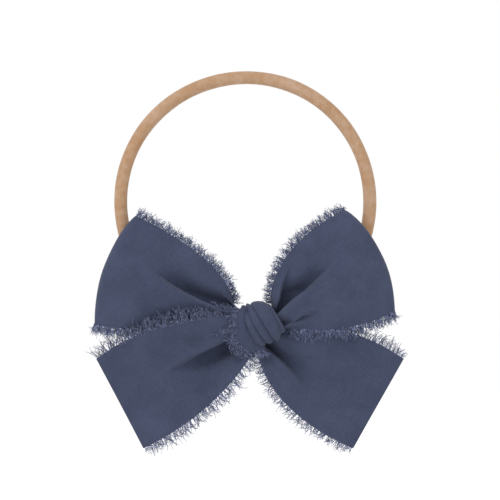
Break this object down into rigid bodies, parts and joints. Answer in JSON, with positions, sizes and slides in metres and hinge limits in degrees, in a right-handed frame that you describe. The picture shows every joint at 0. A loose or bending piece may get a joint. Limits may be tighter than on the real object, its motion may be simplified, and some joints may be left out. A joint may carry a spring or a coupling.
{
  "type": "hair bow on a headband",
  "caption": "Frayed navy cloth bow, tied with a flat knot round a narrow ring of soft stretch nylon.",
  "frame": {"origin": "centre of the knot's flat back, where the bow bears on the wearer's head", "axes": "-Y out of the bow's face, +Z from the knot to the top of the band, +X to the right seen from the front"},
  "size_m": [0.1167, 0.0192, 0.1456],
  "materials": {
    "cloth": "matt plain weave, navy",
    "threads": "loose frayed threads, navy",
    "nylon": "soft matt knitted nylon, nude"
  },
  "bodies": {
    "knot": {"band_keeper": "cloth", "knot_core": "cloth", "knot_wrap": "cloth", "knot_fringe": "threads"},
    "headband": {"nylon_band": "nylon", "band_join": "nylon"},
    "left_loop": {"left_loop": "cloth", "left_loop_fringe": "threads"},
    "right_loop": {"right_loop": "cloth", "right_loop_fringe": "threads"},
    "left_tail": {"left_tail": "cloth", "left_tail_fringe": "threads"},
    "right_tail": {"right_tail": "cloth", "right_tail_fringe": "threads"}
  },
  "joints": [
    {"name": "band_swing", "type": "hinge", "parent": "knot", "child": "headband", "pos_m": [0, -0.0042, 0], "axis": [-1, 0, 0], "range_deg": [0, 90]},
    {"name": "left_loop_flex", "type": "hinge", "parent": "knot", "child": "left_loop", "pos_m": [-0.0065, -0.0126, 0.0055], "axis": [0.5, 0, 0.866], "range_deg": [0, 20], "stiffness_Nm_per_rad": 0.003},
    {"name": "right_loop_flex", "type": "hinge", "parent": "knot", "child": "right_loop", "pos_m": [0.0125, -0.0126, 0.0025], "axis": [0.5, 0, -0.866], "range_deg": [0, 20], "stiffness_Nm_per_rad": 0.003},
    {"name": "left_tail_flex", "type": "hinge", "parent": "knot", "child": "left_tail", "pos_m": [-0.002, -0.0105, -0.005], "axis": [-0.5739, 0, 0.8189], "range_deg": [-15, 20], "stiffness_Nm_per_rad": 0.003},
    {"name": "right_tail_flex", "type": "hinge", "parent": "knot", "child": "right_tail", "pos_m": [0.012, -0.0105, -0.009], "axis": [-0.5739, 0, -0.8189], "range_deg": [-15, 20], "stiffness_Nm_per_rad": 0.003}
  ]
}
